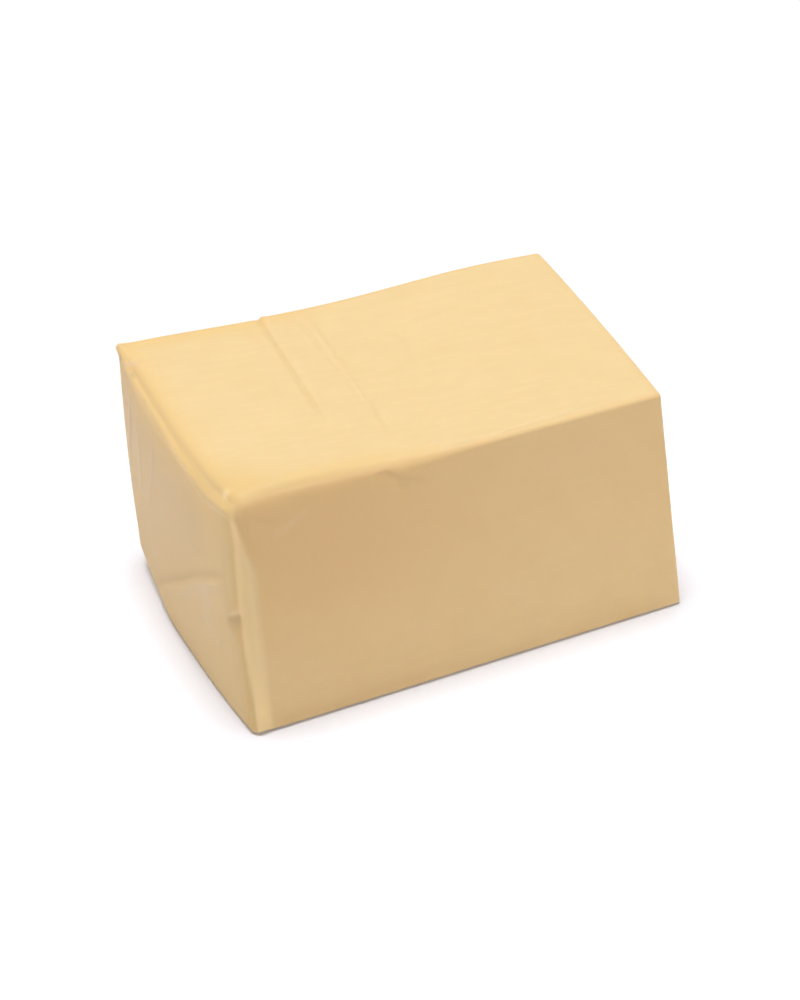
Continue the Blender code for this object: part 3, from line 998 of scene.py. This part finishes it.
def film_material():
    """Clear shrink film: see-through on the flats, milky where it has come away and on its painted sheen and
    glints.
    """
    material, tree = new_material("clear_shrink_film")
    place = add_node(tree, "ShaderNodeTexCoord", {}).outputs["Object"]
    # The attribute also carries the painted sheen and painted glints, which whiten the film.
    away = add_node(tree, "ShaderNodeAttribute", {"attribute_name": "away"})
    streaks = add_node(
        tree, "ShaderNodeTexNoise",
        {"Vector": place, "Scale": 1.0 / STREAK_SIZE, "Detail": 5.0, "Roughness": 0.6, "Distortion": 0.6},
    ).outputs["Fac"]
    broken = add_node(
        tree, "ShaderNodeMapRange",
        {"Value": streaks, "From Min": 0.3, "From Max": 0.7, "To Min": 0.75, "To Max": 1.15},
    )
    shown = add_node(
        tree, "ShaderNodeMath",
        {"operation": "MULTIPLY", 0: away.outputs["Fac"], 1: broken.outputs["Result"]},
    )
    alpha = add_node(
        tree, "ShaderNodeMapRange",
        {"Value": shown.outputs["Value"], "To Min": ALPHA_ON_THE_FLATS, "To Max": ALPHA_COME_AWAY},
    )
    bump = add_node(tree, "ShaderNodeBump", {"Height": streaks, "Strength": 0.15, "Distance": 0.2 * MM})
    film = add_node(
        tree, "ShaderNodeBsdfPrincipled",
        {
            "Base Color": linear(FILM), "Roughness": 0.24, "IOR": 1.5,
            "Alpha": alpha.outputs["Result"], "Normal": bump.outputs["Normal"],
        },
    )
    add_node(tree, "ShaderNodeOutputMaterial", {"Surface": film.outputs["BSDF"]})
    return material


shrunk_film = film_material()
print(shrunk_film.name, "has", len(shrunk_film.node_tree.nodes), "nodes")

# %% [markdown]
# ## The cheese and its film
#
# Both start from the same shell. The cheese lies a tenth of a millimetre inside the solid model's surface
# and the film as much outside it, so they touch nowhere. The cheese follows most of each fold, since the
# film was drawn tight on soft curd, but neither the weld nor the ripples.

# %% The shared relief
reliefs = (end_marks, band_marks, front_marks, top_marks)
pressed, relief_milky_and_sheen, pressed_tone = (sum(parts) for parts in zip(*reliefs))
film_height = pressed + weld_marks[0] + rippled
# Milky film where it has come away, with the painted sheen and glints among it.
away = np.clip(relief_milky_and_sheen + weld_marks[1] + ear_away, 0.0, 1.0)
# Painted shading of all marks, and painted shade on the soft front corner.
tone = np.clip(pressed_tone + CORNER_SHADE * corner, -1.0, 1.0)
print(f"film from {film_height.min():+.2f} to {film_height.max():+.2f} mm off the plain form")

# %% Cheese
CHEESE_INSIDE = 0.12
CHEESE_FOLLOWS = 0.85

sunk = outward * (CHEESE_FOLLOWS * pressed - CHEESE_INSIDE)[:, None]
cheese_points = slumped(round_box + sunk + CHEESE_FOLLOWS * ear_push) + CENTRE
# The cheese carries the painted shading, the golden share and the painted shade of the sides.
cheese = make_piece("cheese_block", cheese_points, quads, curd, tone=tone, golden=golden, cut=cut)

# %% Film
FILM_OUTSIDE = 0.10

raised = outward * (film_height + FILM_OUTSIDE)[:, None]
film_points = slumped(round_box + raised + ear_push) + CENTRE
film = make_piece("shrink_film", film_points, quads, shrunk_film, away=away)

# %% [markdown]
# The frame has one body, and its one solid stands for cheese and film together. So both pieces ride on
# that body and both replace that solid.

# %% Onto the frame
for piece in (cheese, film):
    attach(piece, BODY)
    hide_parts(NODE)
print("both pieces stand for", NODE, "and ride on", BODY)

# %% [markdown]
# ## Floor and light
#
# The pack stands on a matt white sheet of acrylic over a light table. The sheet's own glow is weak near
# the block, so that a soft shadow stays, and grows outward until the sheet is pure white.

# %% Floor
FLOOR_SIZE = 24.0 / MM
FLOOR, FLOOR_GLOW = "#E7E9F0", "#F3F3FF"
GLOW_HERE, GLOW_FAR, GLOW_GROWS_TO = 0.13, 1.0, 4.5


def floor_material():
    """Matt white acrylic over a light table, whose glow grows outward as the lamp's light fades."""
    material, tree = new_material("matt_white_acrylic")
    place = add_node(tree, "ShaderNodeTexCoord", {})
    distance = add_node(
        tree, "ShaderNodeVectorMath", {"operation": "LENGTH", 0: place.outputs["Object"]}
    )
    glow = add_node(
        tree, "ShaderNodeMapRange",
        {
            "interpolation_type": "SMOOTHSTEP", "Value": distance.outputs["Value"],
            "From Max": GLOW_GROWS_TO, "To Min": GLOW_HERE, "To Max": GLOW_FAR,
        },
    )
    sheet = add_node(
        tree, "ShaderNodeBsdfPrincipled",
        {
            "Base Color": linear(FLOOR), "Roughness": 0.9, "Specular IOR Level": 0.2,
            "Emission Color": linear(FLOOR_GLOW), "Emission Strength": glow.outputs["Result"],
        },
    )
    add_node(tree, "ShaderNodeOutputMaterial", {"Surface": sheet.outputs["BSDF"]})
    return material


half = FLOOR_SIZE / 2
floor_corners = np.array([(-half, -half, 0.0), (half, -half, 0.0), (half, half, 0.0), (-half, half, 0.0)])
floor = make_piece("floor", floor_corners, np.array([[0, 1, 2, 3]]), floor_material())

# %% [markdown]
# A large soft box hangs high over the block and makes the top its brightest side. Four small warm lamps
# fill in the folded end, the back and the foot of the front. Their places and sizes are in metres.

# %% Lights
TARGET = np.array([1.597, 0.2, 37.43]) * MM
LAMPS = (
    # name, place, width and height, power in watts, colour
    ("overhead", (-0.09, 0.08, 3.9), (1.7, 1.7), 172.0, "#FFFFFF"),
    ("left", (-1.1, 0.3, 0.5), (0.6, 0.6), 0.9, "#FFBE96"),
    ("back", (0.4, 1.0, 0.4), (0.6, 0.6), 0.6, "#FFC49A"),
    ("front_right", (0.21, -0.24, 0.025), (0.2, 0.2), 0.14, "#FFD6A8"),
    ("low_strip", (0.0, -0.13, 0.015), (0.2, 0.02), 0.006, "#FFF8F0"),
)


def turned_to(right, up, back, place):
    """The matrix that puts an object's X, Y and Z along those directions, and its origin at the place."""
    return Matrix(np.vstack([np.stack([right, up, back, place], axis=1), [0.0, 0.0, 0.0, 1.0]]).tolist())


def soft_box(name, place, size, power, colour):
    """An area lamp turned to face the block. The camera looks through it.

    Its Z points away from the block, its X lies level, and its Y is at right angles to both.
    """
    lamp = bpy.data.lights.new(name, "AREA")
    lamp.shape = "RECTANGLE"
    lamp.size, lamp.size_y = size
    lamp.energy, lamp.color = power, linear(colour)[:3]
    fitting = bpy.data.objects.new(name, lamp)
    fitting.visible_camera = False
    bpy.context.scene.collection.objects.link(fitting)
    back = np.array(place) - TARGET
    back /= np.linalg.norm(back)
    side = np.cross((0.0, 1.0, 0.0) if back[2] > 0.9 else (0.0, 0.0, 1.0), back)
    side /= np.linalg.norm(side)
    fitting.matrix_world = turned_to(side, np.cross(back, side), back, place)
    return fitting


for lamp in LAMPS:
    soft_box(*lamp)
print(len(LAMPS), "soft boxes")

# %% [markdown]
# A white wall all round lights the upright sides evenly and meets the floor where the view ends. Above it
# the room is dim, so the sides stay deeper in colour than the top.

# %% Room
WALL_COLOUR, WALL, CEILING = "#FFFFFF", 1.0, 0.06
WALL_TOP, CEILING_FROM = 0.115, 0.20


def studio_world():
    """A white wall all round, up to about 7 degrees above the floor, and a dim ceiling over it.

    The height in the room is the Z of the direction looked in, which is the sine of the angle up.
    """
    world = bpy.data.worlds.new("studio")
    world.use_nodes = True
    tree = world.node_tree
    tree.nodes.clear()
    way = add_node(tree, "ShaderNodeTexCoord", {})
    parts = add_node(tree, "ShaderNodeSeparateXYZ", {"Vector": way.outputs["Generated"]})
    level = add_node(
        tree, "ShaderNodeMapRange",
        {
            "interpolation_type": "SMOOTHSTEP", "Value": parts.outputs["Z"],
            "From Min": WALL_TOP, "From Max": CEILING_FROM, "To Min": WALL, "To Max": CEILING,
        },
    )
    glow = add_node(
        tree, "ShaderNodeBackground", {"Color": linear(WALL_COLOUR), "Strength": level.outputs["Result"]}
    )
    add_node(tree, "ShaderNodeOutputWorld", {"Surface": glow.outputs["Background"]})
    return world


bpy.context.scene.world = studio_world()
bpy.context.scene.view_settings.view_transform = "Standard"
print("the wall ends", round(math.degrees(math.asin(WALL_TOP)), 1), "degrees above the floor")

# %% [markdown]
# ## Camera
#
# A long lens from 1.3 m away, a little to the left of the front and a good third of a right angle up, held
# slightly out of level. Its place is worked out from those angles, so nothing has to be aimed by hand.

# %% Camera
AZIMUTH, ELEVATION, ROLL = (math.radians(angle) for angle in (-18.843, 33.193, -4.76))
DISTANCE = 1301.6 * MM
FOCAL_PIXELS, FRAME_WIDE, FRAME_HIGH = 4500.0, 800, 1000
CENTRE_PIXEL = (398.194, 475.066)
SENSOR = 36.0

back = np.array([
    math.sin(AZIMUTH) * math.cos(ELEVATION), -math.cos(AZIMUTH) * math.cos(ELEVATION), math.sin(ELEVATION)
])
level = np.array([math.cos(AZIMUTH), math.sin(AZIMUTH), 0.0])
upright = np.cross(back, level)
right = math.cos(ROLL) * level + math.sin(ROLL) * upright
up = math.cos(ROLL) * upright - math.sin(ROLL) * level
lens = bpy.data.cameras.new("camera")
lens.sensor_width = SENSOR
lens.lens = FOCAL_PIXELS * SENSOR / FRAME_HIGH
lens.shift_x = (FRAME_WIDE / 2 - CENTRE_PIXEL[0]) / FRAME_HIGH
lens.shift_y = (CENTRE_PIXEL[1] - FRAME_HIGH / 2) / FRAME_HIGH
lens.clip_start, lens.clip_end = 0.05, 20.0
camera = bpy.data.objects.new("camera", lens)
bpy.context.scene.collection.objects.link(camera)
place = TARGET + back * DISTANCE
camera.matrix_world = turned_to(right, up, back, place)
bpy.context.scene.camera = camera
print("camera at, mm:", np.round(place / MM, 1), "lens, mm:", round(lens.lens, 1))
